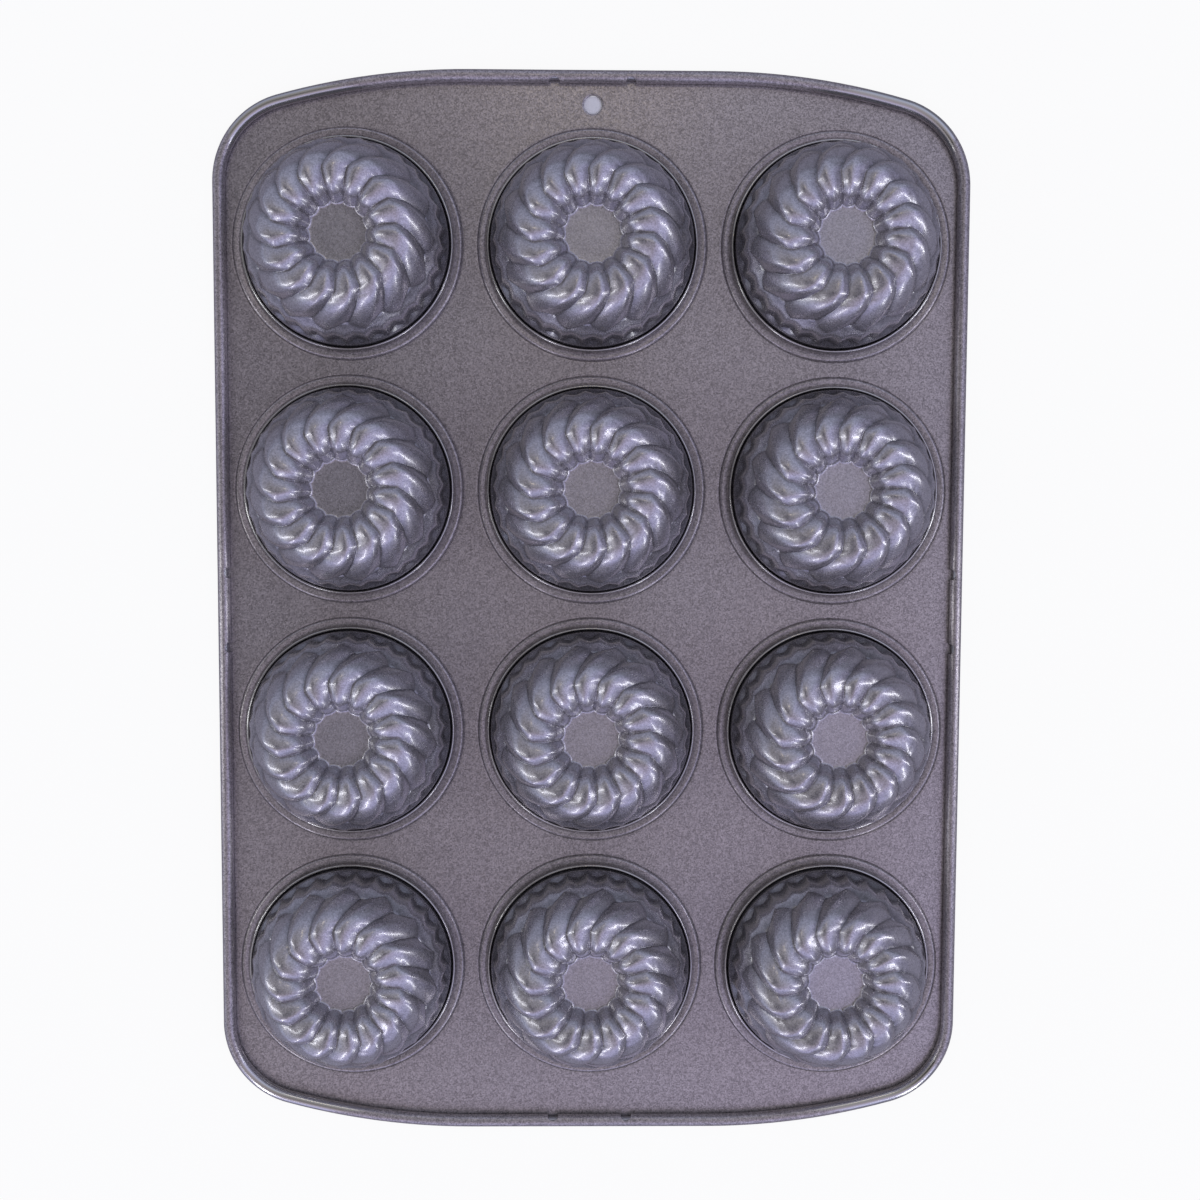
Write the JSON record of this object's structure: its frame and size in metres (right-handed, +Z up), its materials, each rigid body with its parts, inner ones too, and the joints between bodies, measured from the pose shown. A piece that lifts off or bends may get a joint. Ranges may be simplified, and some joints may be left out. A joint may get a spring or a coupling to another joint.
{
  "type": "mini fluted tube pan",
  "caption": "Rectangular bakeware pan of swirl-fluted ring-shaped cups pressed into collared holes in a coated sheet-steel deck with a wired, rolled rim and a hang hole.",
  "frame": {"origin": "Centre of the pan's outline, in the plane of its baking face, which is the lowest plane.", "axes": "+Z up, out of the back of the cups: the pan lies face down as in the picture, with its mouths opening along -Z, so for baking it is turned over about Y. +Y along the length, towards the end with the hang hole. +X across the width."},
  "size_m": [0.281, 0.4, 0.032],
  "materials": {
    "deck_coating": "matte warm grey non-stick coating with a fine metallic fleck",
    "cup_coating": "semi-gloss cool grey non-stick coating with a fine metallic fleck",
    "rim_wire_steel": "bare drawn steel wire"
  },
  "bodies": {
    "root": {"deck": "deck_coating", "rim_wire": "rim_wire_steel", "cup_01": "cup_coating", "cup_02": "cup_coating", "cup_03": "cup_coating", "cup_04": "cup_coating", "cup_05": "cup_coating", "cup_06": "cup_coating", "cup_07": "cup_coating", "cup_08": "cup_coating", "cup_09": "cup_coating", "cup_10": "cup_coating", "cup_11": "cup_coating", "cup_12": "cup_coating"}
  },
  "joints": []
}
